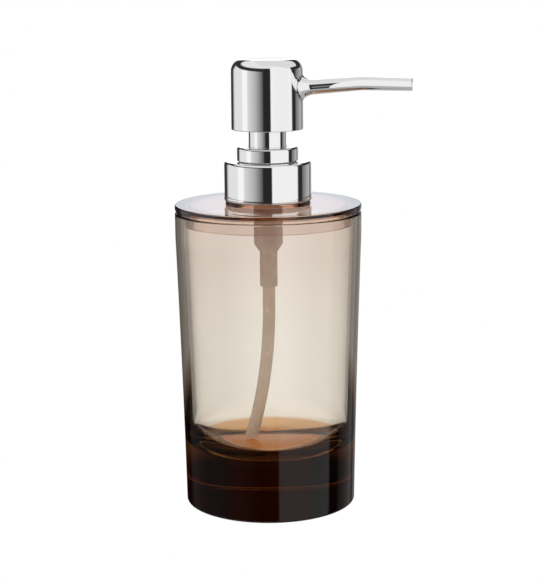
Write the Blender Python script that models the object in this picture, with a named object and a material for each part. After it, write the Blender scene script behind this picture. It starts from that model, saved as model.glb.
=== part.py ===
"""Refillable pump dispenser: thick-footed clear tumbler, disc lid with a neck, metal-look pump.

Metres, +Z up.  The origin is the centre of the underside, the spout points along +X.
"""
import math

import bmesh
import bpy
from mathutils import Vector

MM = 0.001

# ---- driving dimensions (millimetres) ---------------------------------------------------
FOOT_R = 34.15           # outer radius of the tumbler at its foot
RIM_R = 37.0             # outer radius at the rim
RIM_Z = 118.2            # height of the rim
WALL = 3.4               # wall thickness
FOOT_ROUND = 0.9         # rounding of the foot's edge
BASE_H = 36.0            # height where the thick foot begins to fill the inside
BOWL_DEPTH = 14.0        # depth of the hollow in the foot
BOWL_ROUND = 14.0        # rounding between the hollow's floor and the wall

LID_T = 1.9              # thickness of the lid disc
LID_STEP_T = 1.05        # small step under the disc that sits on the rim
SKIRT_DEPTH = 4.4        # how far the plug skirt reaches below the rim
SKIRT_WALL = 1.9
NECK_WALL = 1.35
NECK_H = 11.6            # neck height above the lid disc
BEAD_H = 1.6             # bead round the foot of the neck
THREAD_OUT = 0.95        # how far the thread stands out of the neck
THREAD_PITCH = 3.2
THREAD_TURNS = 1.5

COLLAR_R = 17.2
COLLAR_H = 15.3
COLLAR_WALL = 0.8
LINER_WALL = 1.8         # plastic between the collar's skin and the thread
STEP_H = 5.4             # stepped cover on the collar
STEP_WALL = 0.7
SLEEVE_WALL = 0.8        # sleeve round the stem
GUIDE_WALL = 1.82        # guide between the cup and the sleeve
STEP_LEDGE = 4.67        # width of the ledge between the step's edge and the sleeve

CUP_WALL = 1.5           # wide upper part of the pump cylinder, hangs in the neck
CUP_FLOOR_T = 1.4
CYL_R = 5.75             # pump cylinder
CYL_WALL = 1.0
SOCKET_R = 3.5           # socket for the dip tube
SOCKET_H = 13.8
VALVE_STACK = 22.3       # cylinder length that piston, valve and socket need besides the stroke

TUBE_R = 2.5
TUBE_WALL = 0.6
TUBE_END_X = -8.7
TUBE_END_GAP = 1.7       # height of the tube's end over the hollow's floor
BALL_R = 1.5

STROKE = 11.5            # travel of the head when it is pressed
STEM_R = 3.2
STEM_TIP_R = 2.6         # the stem's thinner end that carries the piston
FLOW_R = 1.9             # bore of the stem
STEM_REACH = 14.2        # how far the stem reaches up into the head
SPRING_WIRE_R = 0.4
SPRING_R = 5.4           # mean radius of the coil
SPRING_TURNS = 7.0

HEAD_H = 27.5
HEAD_ROUND = 4.8
HEAD_WALL = 1.4

SPOUT_REACH = 57.0       # distance of the spout's tip from the axis
SPOUT_ROOT_R = 3.0
SPOUT_TIP_R = 2.45
SPOUT_BORE_R = 1.9
SPOUT_LIFT = 16.2        # the spout's height over the head's lower edge
SPOUT_RISE = 1.9         # rise from the head to the soft bend
SPOUT_DROP = 0.35        # fall from the bend to the tip
SPOUT_FLARE = 2.4        # widening of the spout's root on the head
BEND_X = 37.5

# ---- clearances ----------------------------------------------------------------------
SEAT = 0.25              # gap between pieces that rest on or in each other
SLIDE = 0.3              # radial clearance of sliding and turning pieces
PISTON_GAP = 0.12        # piston in its cylinder
PRESS_GAP = 1.0          # room left under the head when it is pressed right down
CORE_GAP = 0.85          # the same between the head's core and the step cover
STEP_GAP = 0.7           # radial room between the step cover and the head that comes down over it
NECK_GAP = 0.45          # radial room between the cup and the neck's bore
BALL_GAP = 0.1           # between a ball and its seat

# ---- levels and fits that follow from them ------------------------------------------------
FLARE_TOP = RIM_Z * 0.92         # above this the wall is straight
FLARE_LINEAR = 0.62              # share of the flare that is plain taper
STEP_Z = RIM_Z + SEAT
DISC_Z = STEP_Z + LID_STEP_T
LID_TOP = DISC_Z + LID_T
NECK_TOP = LID_TOP + NECK_H
NECK_R = COLLAR_R - COLLAR_WALL - SEAT - LINER_WALL - SLIDE - THREAD_OUT
NECK_BORE_R = NECK_R - NECK_WALL
BEAD_R = COLLAR_R - 0.4
CUP_R = NECK_BORE_R - NECK_GAP
SLEEVE_R = CUP_R - CUP_WALL - SLIDE - GUIDE_WALL - SLIDE
STEP_R = SLEEVE_R + STEP_LEDGE
HEAD_R = STEP_R + STEP_GAP + HEAD_WALL
CORE_R = HEAD_R - HEAD_WALL - SLIDE
GASKET_Z = NECK_TOP + SEAT
GASKET_TOP = GASKET_Z + 1.0
FLANGE_Z = GASKET_TOP + SEAT
FLANGE_TOP = FLANGE_Z + 1.2
COLLAR_Z = LID_TOP + BEAD_H
COLLAR_TOP = COLLAR_Z + COLLAR_H
STEP_COVER_Z = COLLAR_TOP + SEAT
STEP_COVER_TOP = STEP_COVER_Z + STEP_H
CYL_BORE_R = CYL_R - CYL_WALL
TUBE_END_Z = BASE_H - BOWL_DEPTH + TUBE_END_GAP
CUP_FLOOR = LID_TOP + 0.6
SOCKET_Z = CUP_FLOOR - STROKE - VALVE_STACK
INLET_Z = SOCKET_Z + 11.4        # seat of the inlet ball
HEAD_Z = COLLAR_TOP + STROKE + PRESS_GAP
HEAD_TOP = HEAD_Z + HEAD_H
CORE_Z = STEP_COVER_TOP + STROKE + CORE_GAP
STEM_TOP = HEAD_Z + STEM_REACH
STEM_FLANGE_Z = STEP_COVER_TOP - 3.6
PISTON_TOP = CUP_FLOOR - 0.4
SPOUT_Z = HEAD_Z + SPOUT_LIFT
N_BIG = 40               # facets round the large pieces
N_MID = 32
N_CUP = 24
N_SMALL = 20


def clear_scene():
    for obj in list(bpy.data.objects):
        bpy.data.objects.remove(obj)


def material(name, colour, rough, metal=0.0, alpha=1.0):
    mat = bpy.data.materials.new(name)
    mat.use_nodes = True
    bsdf = mat.node_tree.nodes["Principled BSDF"]
    bsdf.inputs["Base Color"].default_value = (*colour, 1.0)
    bsdf.inputs["Roughness"].default_value = rough
    bsdf.inputs["Metallic"].default_value = metal
    bsdf.inputs["Alpha"].default_value = alpha
    return mat


def add_object(name, verts, faces, mat, smooth_angle=35.0):
    mesh = bpy.data.meshes.new(name)
    mesh.from_pydata([(x * MM, y * MM, z * MM) for x, y, z in verts], [], faces)
    bm = bmesh.new()
    bm.from_mesh(mesh)
    bmesh.ops.recalc_face_normals(bm, faces=bm.faces)
    limit = math.radians(smooth_angle)
    for face in bm.faces:
        face.smooth = True
    for edge in bm.edges:
        edge.smooth = len(edge.link_faces) == 2 and edge.calc_face_angle(0.0) < limit
    bm.to_mesh(mesh)
    bm.free()
    mesh.materials.append(mat)
    obj = bpy.data.objects.new(name, mesh)
    bpy.context.collection.objects.link(obj)
    return obj


def revolve(profile, count):
    """Closed solid of revolution about Z from a closed (r, z) profile; r = 0 makes a pole."""
    verts = []
    rings = []
    for r, z in profile:
        if r < 1e-6:
            rings.append([len(verts)])
            verts.append((0.0, 0.0, z))
        else:
            rings.append(list(range(len(verts), len(verts) + count)))
            for k in range(count):
                a = 2 * math.pi * k / count
                verts.append((r * math.cos(a), r * math.sin(a), z))
    faces = []
    pairs = list(zip(rings, rings[1:] + rings[:1]))
    for low, high in pairs:
        if len(low) == 1 and len(high) == 1:
            continue
        for k in range(count):
            n = (k + 1) % count
            if len(low) == 1:
                faces.append((low[0], high[n], high[k]))
            elif len(high) == 1:
                faces.append((low[k], low[n], high[0]))
            else:
                faces.append((low[k], low[n], high[n], high[k]))
    return verts, faces


def round_piece(name, profile, mat, count=N_MID):
    verts, faces = revolve(profile, count)
    return add_object(name, verts, faces, mat)


def arc(cr, cz, radius, start, end, steps):
    """Points of an arc in the (r, z) plane, angles in degrees."""
    points = []
    for k in range(steps + 1):
        a = math.radians(start + (end - start) * k / steps)
        points.append((cr + radius * math.cos(a), cz + radius * math.sin(a)))
    return points


def outer_radius(z):
    """Outer radius of the tumbler: a flare that opens a little faster towards the rim."""
    t = min(max(z / FLARE_TOP, 0.0), 1.0)
    return FOOT_R + (RIM_R - FOOT_R) * (FLARE_LINEAR * t + (1.0 - FLARE_LINEAR) * t * t)


def inner_radius(z):
    return outer_radius(z) - WALL


def sweep(path, radii, sides, bore):
    """Tube along a path in the XZ plane, with its own outer radius at each point."""
    verts = []
    outer = []
    inner = []
    for i, (x, z) in enumerate(path):
        x0, z0 = path[max(i - 1, 0)]
        x1, z1 = path[min(i + 1, len(path) - 1)]
        along = Vector((x1 - x0, 0, z1 - z0)).normalized()
        across = Vector((0, 1, 0))
        up = across.cross(along) * -1
        for store, r in ((outer, radii[i]), (inner, bore)):
            store.append(list(range(len(verts), len(verts) + sides)))
            for k in range(sides):
                a = 2 * math.pi * (k + 0.5) / sides
                off = across * (r * math.cos(a)) + up * (r * math.sin(a))
                verts.append((x + off.x, off.y, z + off.z))
    faces = []
    for rings in (outer, inner):
        for low, high in zip(rings, rings[1:]):
            for k in range(sides):
                n = (k + 1) % sides
                faces.append((low[k], low[n], high[n], high[k]))
    for end in (0, -1):
        for k in range(sides):
            n = (k + 1) % sides
            faces.append((outer[end][k], outer[end][n], inner[end][n], inner[end][k]))
    return verts, faces


def bezier(p0, p1, p2, p3, steps):
    points = []
    for i in range(steps + 1):
        t = i / steps
        u = 1 - t
        w = (u ** 3, 3 * u * u * t, 3 * u * t * t, t ** 3)
        points.append(tuple(sum(wi * p[c] for wi, p in zip(w, (p0, p1, p2, p3))) for c in (0, 1)))
    return points


def cutter(name, verts, faces):
    mesh = bpy.data.meshes.new(name)
    mesh.from_pydata([(x * MM, y * MM, z * MM) for x, y, z in verts], [], faces)
    bm = bmesh.new()
    bm.from_mesh(mesh)
    bmesh.ops.recalc_face_normals(bm, faces=bm.faces)
    bm.to_mesh(mesh)
    bm.free()
    obj = bpy.data.objects.new(name, mesh)
    bpy.context.collection.objects.link(obj)
    return obj


def combine(target, other, operation):
    """Boolean the other solid into the target and remove the other."""
    mod = target.modifiers.new("cut", "BOOLEAN")
    mod.operation = operation
    mod.solver = "EXACT"
    mod.object = other
    depsgraph = bpy.context.evaluated_depsgraph_get()
    mesh = bpy.data.meshes.new_from_object(target.evaluated_get(depsgraph))
    target.modifiers.clear()
    old = target.data
    name = old.name
    target.data = mesh
    bpy.data.meshes.remove(old)
    mesh.name = name
    bm = bmesh.new()
    bm.from_mesh(mesh)
    bmesh.ops.remove_doubles(bm, verts=bm.verts, dist=1e-7)
    bmesh.ops.dissolve_degenerate(bm, edges=bm.edges, dist=1e-7)
    limit = math.radians(35)
    for face in bm.faces:
        face.smooth = True
    for edge in bm.edges:
        edge.smooth = len(edge.link_faces) == 2 and edge.calc_face_angle(0.0) < limit
    bm.to_mesh(mesh)
    bm.free()
    bpy.data.objects.remove(other)


def x_cylinder(x0, x1, z, radius, sides):
    verts = []
    for x in (x0, x1):
        for k in range(sides):
            a = 2 * math.pi * (k + 0.5) / sides
            verts.append((x, radius * math.cos(a), z + radius * math.sin(a)))
    faces = [tuple(range(sides)), tuple(range(sides, 2 * sides))]
    for k in range(sides):
        n = (k + 1) % sides
        faces.append((k, n, sides + n, sides + k))
    return verts, faces


# ---- reservoir -----------------------------------------------------------------------
def build_tumbler(mat):
    """Tapered wall on a thick foot with a flat underside and a round-cornered hollow."""
    floor = BASE_H - BOWL_DEPTH
    corner = min(BOWL_ROUND, BOWL_DEPTH)
    profile = [(0.0, 0.0)]
    profile += arc(outer_radius(FOOT_ROUND) - FOOT_ROUND, FOOT_ROUND, FOOT_ROUND, -90, 0, 3)
    outer_levels = [FLARE_TOP * share for share in (0.17, 0.33, 0.5, 0.67, 0.83, 1.0)]
    profile += [(outer_radius(z), z) for z in outer_levels]
    inner_rim = RIM_R - WALL
    profile += [(RIM_R, RIM_Z - 0.5), (RIM_R - 0.4, RIM_Z), (inner_rim + 0.3, RIM_Z)]
    profile.append((inner_rim, RIM_Z - 0.3))
    inner_levels = [BASE_H + (FLARE_TOP - BASE_H) * share for share in (1.0, 0.75, 0.5, 0.25)]
    profile += [(inner_radius(z), z) for z in inner_levels]
    edge = inner_radius(BASE_H)
    if corner < BOWL_DEPTH:
        profile.append((edge, BASE_H))
    profile += arc(edge - corner, floor + corner, corner, 0, -90, 6)
    profile.append((0.0, floor))
    round_piece("tumbler", profile, mat, N_BIG)


def thread_solid():
    """One ridge winding up the neck, thinned to nothing at both ends."""
    steps = int(THREAD_TURNS * 24)
    z0 = COLLAR_Z + 2.6
    root = NECK_R - 0.4
    verts = []
    for i in range(steps + 1):
        t = i / steps
        a = 2 * math.pi * THREAD_TURNS * t
        z = z0 + THREAD_PITCH * THREAD_TURNS * t
        grow = min(1.0, 8 * t, 8 * (1 - t))
        out = NECK_R + THREAD_OUT * max(grow, 0.1)
        for r, dz in ((root, -0.95), (out, -0.35), (out, 0.35), (root, 0.95)):
            verts.append((r * math.cos(a), r * math.sin(a), z + dz))
    faces = [(0, 1, 2, 3), tuple(4 * steps + k for k in (3, 2, 1, 0))]
    for i in range(steps):
        for k in range(4):
            n = (k + 1) % 4
            faces.append((4 * i + k, 4 * i + n, 4 * i + 4 + n, 4 * i + 4 + k))
    return verts, faces


def build_lid(mat):
    skirt_r = inner_radius(RIM_Z) - SLIDE - 0.05
    skirt_in = skirt_r - SKIRT_WALL
    skirt_z = RIM_Z - SKIRT_DEPTH
    step_r = RIM_R - 0.4
    edge = 0.5
    bead_top = COLLAR_Z - SEAT
    profile = [(NECK_BORE_R, NECK_TOP), (NECK_BORE_R, DISC_Z), (skirt_in, DISC_Z)]
    profile += [(skirt_in, skirt_z), (skirt_r - 0.3, skirt_z)]
    profile += [(skirt_r, skirt_z + 0.4), (skirt_r, STEP_Z)]
    profile += [(step_r, STEP_Z), (step_r, DISC_Z), (RIM_R, DISC_Z)]
    profile += arc(RIM_R - edge, LID_TOP - edge, edge, 0, 90, 2)
    profile += [(BEAD_R, LID_TOP), (BEAD_R, bead_top - 0.35), (BEAD_R - 0.4, bead_top)]
    profile += [(NECK_R, bead_top), (NECK_R, NECK_TOP)]
    lid = round_piece("lid", profile, mat, N_BIG)
    verts, faces = thread_solid()
    combine(lid, cutter("thread", verts, faces), "UNION")


# ---- pump unit ------------------------------------------------------------------------
def build_pump_unit(mats):
    pocket = BALL_R + 1.0
    inlet_r = BALL_R - 0.2
    cone_h = 1.6
    shoulder = SOCKET_Z + SOCKET_H
    top = shoulder + 3.4
    cup_in = CUP_R - CUP_WALL
    inner_floor = CUP_FLOOR + CUP_FLOOR_T
    profile = [(SOCKET_R, SOCKET_Z), (SOCKET_R, shoulder), (CYL_R, top)]
    profile += [(CYL_R, CUP_FLOOR - 1.6), (CUP_R, CUP_FLOOR), (CUP_R, FLANGE_Z)]
    profile += [(NECK_R + 0.5, FLANGE_Z), (NECK_R + 0.5, FLANGE_TOP), (cup_in, FLANGE_TOP)]
    profile += [(cup_in, inner_floor), (CYL_BORE_R, inner_floor)]
    profile += [(CYL_BORE_R, top), (pocket, top - 1.6), (pocket, INLET_Z + cone_h)]
    profile += [(inlet_r, INLET_Z), (inlet_r, INLET_Z - 1.3), (TUBE_R + SLIDE, INLET_Z - 1.3)]
    profile += [(TUBE_R + SLIDE, SOCKET_Z)]
    round_piece("pump_cylinder", profile, mats["natural"], N_CUP)

    ring_in = CUP_R + SLIDE
    ring_out = NECK_R + 0.3
    ring = [(ring_in, GASKET_Z), (ring_out, GASKET_Z), (ring_out, GASKET_TOP), (ring_in, GASKET_TOP)]
    round_piece("neck_gasket", ring, mats["seal"], N_MID)

    # the guide snaps into the cylinder's cup and carries the stepped cover
    skirt = cup_in - SLIDE
    skirt_z = FLANGE_Z - 5.0
    guide_bore = SLEEVE_R + SLIDE
    shelf = FLANGE_TOP + SEAT
    under = STEP_COVER_TOP - STEP_WALL - SEAT
    post = STEP_R - STEP_WALL - SEAT
    groove = under - 2.2
    groove_r = guide_bore + 1.2
    body = [(guide_bore, skirt_z), (skirt, skirt_z), (skirt, shelf)]
    body += [(post, shelf), (post, under), (groove_r, under), (groove_r, groove)]
    body += [(guide_bore, groove)]
    round_piece("stem_guide", body, mats["natural"], N_MID)

    seal_r = groove_r - SEAT
    lip_r = SLEEVE_R + 0.15
    lip_top = under - 0.2
    lip = [(lip_r, groove + SEAT), (seal_r, groove + SEAT), (seal_r, lip_top), (lip_r, lip_top)]
    round_piece("stem_wiper", lip, mats["seal"], N_MID)

    edge = 1.0
    step_in = STEP_R - STEP_WALL
    step_under = STEP_COVER_TOP - STEP_WALL
    cover = [(step_in, STEP_COVER_Z), (STEP_R, STEP_COVER_Z), (STEP_R, STEP_COVER_TOP - edge)]
    cover += arc(STEP_R - edge, STEP_COVER_TOP - edge, edge, 30, 90, 2)
    cover += [(guide_bore, STEP_COVER_TOP), (guide_bore, step_under), (step_in, step_under)]
    round_piece("step_cover", cover, mats["chrome"], N_MID)

    stop_z = INLET_Z + cone_h + 2.2
    stop_r = pocket - PISTON_GAP
    hole = 0.9
    disc = [(hole, stop_z), (stop_r, stop_z), (stop_r, stop_z + 0.9), (hole, stop_z + 0.9)]
    round_piece("ball_stop", disc, mats["natural"], N_SMALL)

    straight_end = SOCKET_Z - 8.0
    drop = straight_end - TUBE_END_Z
    path = [(0.0, INLET_Z - 1.3 - SEAT), (0.0, SOCKET_Z)]
    path += bezier((0.0, straight_end), (0.0, straight_end - 0.322 * drop),
                   (0.3 * TUBE_END_X, straight_end - 0.676 * drop), (TUBE_END_X, TUBE_END_Z), 9)
    verts, faces = sweep(path, [TUBE_R] * len(path), 10, TUBE_R - TUBE_WALL)
    add_object("dip_tube", verts, faces, mats["tube"])
    ball("inlet_ball", ball_height(INLET_Z, inlet_r, pocket, cone_h), mats["steel"])


def ball_height(seat_z, hole_r, pocket_r, cone_h):
    """Centre of a ball that sits just over a conical seat rising from hole to pocket."""
    cone = math.atan2(pocket_r - hole_r, cone_h)
    apex = seat_z - hole_r / math.tan(cone)
    return apex + (BALL_R + BALL_GAP) / math.sin(cone)


def ball(name, z, mat):
    mesh = bpy.data.meshes.new(name)
    bm = bmesh.new()
    bmesh.ops.create_icosphere(bm, subdivisions=2, radius=BALL_R * MM)
    for face in bm.faces:
        face.smooth = True
    bm.to_mesh(mesh)
    bm.free()
    mesh.materials.append(mat)
    obj = bpy.data.objects.new(name, mesh)
    bpy.context.collection.objects.link(obj)
    obj.location = (0.0, 0.0, z * MM)
    return obj


# ---- closure -------------------------------------------------------------------------
def build_closure(mats):
    liner_r = COLLAR_R - COLLAR_WALL - SEAT
    lug = COLLAR_TOP - COLLAR_WALL
    hole = STEP_R - STEP_WALL
    shell_in = COLLAR_R - COLLAR_WALL
    hem = COLLAR_R + 0.1
    edge = 1.2
    shell = [(shell_in, COLLAR_Z), (hem, COLLAR_Z), (hem, COLLAR_Z + 0.7), (COLLAR_R, COLLAR_Z + 1.2)]
    shell += [(COLLAR_R, COLLAR_TOP - edge)]
    shell += arc(COLLAR_R - edge, COLLAR_TOP - edge, edge, 30, 90, 2)
    shell += [(hole, COLLAR_TOP), (hole, lug), (shell_in, lug)]
    round_piece("collar_shell", shell, mats["chrome"], N_BIG)

    bore = NECK_R + THREAD_OUT + SLIDE
    ceiling = FLANGE_TOP + SEAT
    foot = COLLAR_Z + 0.4
    liner = [(bore, foot), (liner_r, foot), (liner_r, lug - SEAT), (hole, lug - SEAT)]
    liner += [(hole, ceiling), (bore, ceiling)]
    round_piece("collar_liner", liner, mats["dark"], N_MID)


# ---- plunger -------------------------------------------------------------------------
def build_plunger(mats):
    low = PISTON_TOP - 3.9
    seat_z = STEM_TOP - 6.0
    pocket = BALL_R + 0.6
    outlet_r = 1.0
    cone_h = 1.6
    sleeve_in = SLEEVE_R - SLEEVE_WALL
    flange_r = sleeve_in - SEAT
    flange_top = STEM_FLANGE_Z + 1.2
    profile = [(FLOW_R, low), (STEM_TIP_R, low), (STEM_TIP_R, PISTON_TOP), (STEM_R, PISTON_TOP)]
    profile += [(STEM_R, STEM_FLANGE_Z), (flange_r, STEM_FLANGE_Z), (flange_r, flange_top)]
    profile += [(STEM_R, flange_top), (STEM_R, STEM_TOP), (pocket, STEM_TOP), (pocket, seat_z + cone_h)]
    profile += [(outlet_r, seat_z), (outlet_r, seat_z - 1.0), (FLOW_R, seat_z - 1.0)]
    round_piece("stem", profile, mats["natural"], N_SMALL)

    sleeve_top = CORE_Z - SEAT
    tube = [(sleeve_in, STEM_FLANGE_Z), (SLEEVE_R, STEM_FLANGE_Z)]
    tube += [(SLEEVE_R, sleeve_top), (sleeve_in, sleeve_top)]
    round_piece("stem_sleeve", tube, mats["chrome"], N_MID)

    lip = CYL_BORE_R - PISTON_GAP
    waist = lip - 0.4
    fit = STEM_TIP_R + 0.1
    seal = [(fit, PISTON_TOP - 3.2), (lip, PISTON_TOP - 3.2), (lip, PISTON_TOP - 2.6)]
    seal += [(waist, PISTON_TOP - 2.2), (waist, PISTON_TOP - 1.1), (lip, PISTON_TOP - 0.7)]
    seal += [(lip, PISTON_TOP - SEAT), (fit, PISTON_TOP - SEAT)]
    round_piece("piston", seal, mats["seal"], N_MID)

    cap_top = low - 0.1
    cap_z = cap_top - 0.9
    cap_r = CYL_BORE_R - 1.25
    plug_r = FLOW_R - 0.1
    plug_top = low + 2.4
    hole = 0.9
    cap = [(hole, cap_z), (cap_r, cap_z), (cap_r, cap_top), (plug_r, cap_top)]
    cap += [(plug_r, plug_top), (hole, plug_top)]
    round_piece("piston_keeper", cap, mats["natural"], N_SMALL)

    ball("outlet_ball", ball_height(seat_z, outlet_r, pocket, cone_h), mats["steel"])
    build_spring(CUP_FLOOR + CUP_FLOOR_T + 0.2, STEM_FLANGE_Z - 0.2, mats["steel"])


def build_spring(z0, z1, mat):
    """Round-wire coil with a closed turn at each end."""
    wire = SPRING_WIRE_R
    steps = int(SPRING_TURNS * 10)
    sides = 5
    closed_turns = 1.15
    closed = closed_turns / SPRING_TURNS
    end_rise = closed_turns * 2.2 * wire
    rise = (z1 - z0) - 2 * wire - 2 * end_rise
    verts = []
    for i in range(steps + 1):
        t = i / steps
        a = 2 * math.pi * SPRING_TURNS * t
        middle = min(max((t - closed) / (1 - 2 * closed), 0.0), 1.0)
        start = min(t, closed) / closed
        tail = max(t - (1 - closed), 0.0) / closed
        z = z0 + wire + end_rise * (start + tail) + rise * middle
        for k in range(sides):
            b = 2 * math.pi * k / sides
            r = SPRING_R + wire * math.cos(b)
            verts.append((r * math.cos(a), r * math.sin(a), z + wire * math.sin(b)))
    faces = [tuple(range(sides)), tuple(range(steps * sides, (steps + 1) * sides))]
    for i in range(steps):
        for k in range(sides):
            n = (k + 1) % sides
            faces.append((i * sides + k, i * sides + n, (i + 1) * sides + n, (i + 1) * sides + k))
    add_object("return_spring", verts, faces, mat)


# ---- head ----------------------------------------------------------------------------
def spout_station(x, extra=0.0):
    """Centre height and outer radius of the spout at x; extra widens the root."""
    share = min(max((x - HEAD_R) / (BEND_X - HEAD_R), 0.0), 1.0)
    z = SPOUT_Z + SPOUT_RISE * (share - 0.04 * math.sin(math.pi * share))
    if x > BEND_X:
        z -= SPOUT_DROP * ((x - BEND_X) / (SPOUT_REACH - BEND_X)) ** 2
    along = min(max((x - HEAD_R) / (SPOUT_REACH - HEAD_R), 0.0), 1.0)
    return x, z, SPOUT_ROOT_R + (SPOUT_TIP_R - SPOUT_ROOT_R) * along + extra


def spout_stations():
    """Spigot in the head's wall, flared root, ramp up to the bend, level part, tip."""
    spigot = -0.1
    stations = [spout_station(CORE_R + 0.35, spigot), spout_station(HEAD_R - 0.9, spigot)]
    for out, share in ((-0.3, 1.0), (1.4, 0.48), (3.0, 0.19), (5.5, 0.04)):
        stations.append(spout_station(HEAD_R + out, SPOUT_FLARE * share))
    for x in (HEAD_R + 14.0, BEND_X - 3.0, BEND_X, BEND_X + 3.0, BEND_X + 11.0, SPOUT_REACH):
        stations.append(spout_station(x))
    return stations


def build_head(mats):
    inner = HEAD_R - HEAD_WALL
    top_in = HEAD_TOP - HEAD_WALL
    edge = 0.3
    shoulder_r = HEAD_R - 0.1
    shell = [(inner, HEAD_Z + edge), (inner + edge, HEAD_Z), (HEAD_R - edge, HEAD_Z)]
    shell += [(HEAD_R, HEAD_Z + edge), (HEAD_R - 0.05, HEAD_Z + 12.0)]
    shell += arc(shoulder_r - HEAD_ROUND, HEAD_TOP - HEAD_ROUND, HEAD_ROUND, 0, 90, 5)
    shell += [(0.0, HEAD_TOP), (0.0, top_in)]
    round_in = HEAD_ROUND - HEAD_WALL
    shell += arc(inner - round_in, top_in - round_in, round_in, 90, 0, 3)
    head = round_piece("head_shell", shell, mats["chrome"], N_BIG)
    root_r = SPOUT_ROOT_R + 0.2
    verts, faces = x_cylinder(HEAD_R - 4.0, HEAD_R + 3.0, SPOUT_Z, root_r, 16)
    combine(head, cutter("root_hole", verts, faces), "DIFFERENCE")

    core_top = top_in - 2.6
    chamfer = 1.6
    core_bore = STEM_R + SEAT
    outlet_top = STEM_TOP - 1.9
    roof = STEM_TOP + 3.6
    core = [(1.0, outlet_top), (1.0, roof), (core_bore, roof), (core_bore, CORE_Z)]
    core += [(CORE_R, CORE_Z), (CORE_R, core_top - chamfer), (CORE_R - chamfer, core_top)]
    core += [(0.0, core_top), (0.0, outlet_top)]
    block = round_piece("head_core", core, mats["natural"], N_MID)
    verts, faces = x_cylinder(2.4, HEAD_R, SPOUT_Z, 1.4, 12)
    combine(block, cutter("core_channel", verts, faces), "DIFFERENCE")

    # everything of the spout inside this radius goes, except the spigot through the head's wall
    stations = spout_stations()
    path = [(x, z) for x, z, r in stations]
    verts, faces = sweep(path, [r for x, z, r in stations], 14, SPOUT_BORE_R)
    spout = add_object("spout", verts, faces, mats["chrome"])
    seat_r = HEAD_R + 0.2
    low, high = SPOUT_Z - 9.0, SPOUT_Z + 9.0
    verts, faces = revolve([(seat_r, low), (0.0, low), (0.0, high), (seat_r, high)], N_BIG)
    seat_cut = cutter("seat_cut", verts, faces)
    verts, faces = x_ring(0.0, seat_r, SPOUT_Z, SPOUT_ROOT_R - 0.1, 8.0, 16)
    combine(seat_cut, cutter("spigot_keep", verts, faces), "INTERSECT")
    combine(spout, seat_cut, "DIFFERENCE")

    path[-1] = (SPOUT_REACH - 0.4, path[-1][1])
    verts, faces = sweep(path, [SPOUT_BORE_R - SLIDE] * len(path), 10, 1.0)
    add_object("spout_liner", verts, faces, mats["natural"])


def x_ring(x0, x1, z, r_in, r_out, sides):
    verts = []
    for x in (x0, x1):
        for r in (r_out, r_in):
            for k in range(sides):
                a = 2 * math.pi * (k + 0.5) / sides
                verts.append((x, r * math.cos(a), z + r * math.sin(a)))
    faces = []
    o0, i0, o1, i1 = 0, sides, 2 * sides, 3 * sides
    for k in range(sides):
        n = (k + 1) % sides
        faces.append((o0 + k, o0 + n, o1 + n, o1 + k))
        faces.append((i0 + k, i0 + n, i1 + n, i1 + k))
        faces.append((o0 + k, o0 + n, i0 + n, i0 + k))
        faces.append((o1 + k, o1 + n, i1 + n, i1 + k))
    return verts, faces


def main():
    clear_scene()
    mats = {
        "acrylic": material("tinted_acrylic", (0.62, 0.50, 0.40), 0.05, 0.0, 0.35),
        "chrome": material("chrome_plating", (0.86, 0.87, 0.88), 0.06, 1.0),
        "natural": material("natural_plastic", (0.78, 0.72, 0.66), 0.35),
        "tube": material("tube_plastic", (0.80, 0.72, 0.62), 0.30),
        "seal": material("sealing_rubber", (0.85, 0.84, 0.80), 0.60),
        "steel": material("steel", (0.68, 0.68, 0.69), 0.20, 1.0),
        "dark": material("liner_plastic", (0.10, 0.09, 0.085), 0.40),
    }
    build_tumbler(mats["acrylic"])
    build_lid(mats["acrylic"])
    build_pump_unit(mats)
    build_closure(mats)
    build_plunger(mats)
    build_head(mats)


main()
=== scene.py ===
"""Looks of the pump dispenser: tinted clear tumbler on a thick foot, mirror-plated pump, milky tube."""
import math

import bmesh
import bpy
from mathutils import Matrix, Vector


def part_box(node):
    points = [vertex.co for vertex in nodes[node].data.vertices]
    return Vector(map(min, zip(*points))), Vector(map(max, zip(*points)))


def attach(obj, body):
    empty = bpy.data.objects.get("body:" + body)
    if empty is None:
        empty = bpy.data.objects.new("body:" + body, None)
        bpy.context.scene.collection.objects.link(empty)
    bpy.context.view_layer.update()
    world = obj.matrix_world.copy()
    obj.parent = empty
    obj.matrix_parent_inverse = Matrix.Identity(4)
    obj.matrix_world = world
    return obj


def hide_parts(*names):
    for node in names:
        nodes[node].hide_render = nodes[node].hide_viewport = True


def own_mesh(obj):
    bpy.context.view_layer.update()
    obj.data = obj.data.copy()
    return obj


MM = 0.001
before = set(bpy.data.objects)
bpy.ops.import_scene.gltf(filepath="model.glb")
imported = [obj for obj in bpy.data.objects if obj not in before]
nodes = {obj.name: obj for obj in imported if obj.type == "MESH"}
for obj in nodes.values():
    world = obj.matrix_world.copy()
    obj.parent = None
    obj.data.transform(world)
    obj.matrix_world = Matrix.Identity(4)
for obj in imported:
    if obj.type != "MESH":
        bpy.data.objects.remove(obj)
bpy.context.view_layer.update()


# ---- sizes taken from the frame ----------------------------------------------------------
def foot(node):
    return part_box(node)[0].z


def top(node):
    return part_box(node)[1].z


def radius(node):
    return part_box(node)[1].y


RIM_R = radius("tumbler")
RIM_Z = top("tumbler")
BASE_TOP = RIM_Z * 0.3046        # level where the thick foot begins to fill the inside
FOOT_R = RIM_R * 0.923
FOOT_ROUND = 0.9 * MM
FLARE_TOP = RIM_Z * 0.92
FLARE_LINEAR = 0.62
WALL = 3.4 * MM
RIM_ROUND_OUT = 0.5 * MM
RIM_ROUND_IN = 0.3 * MM
BOWL_FLOOR = BASE_TOP - 14.0 * MM

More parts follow.
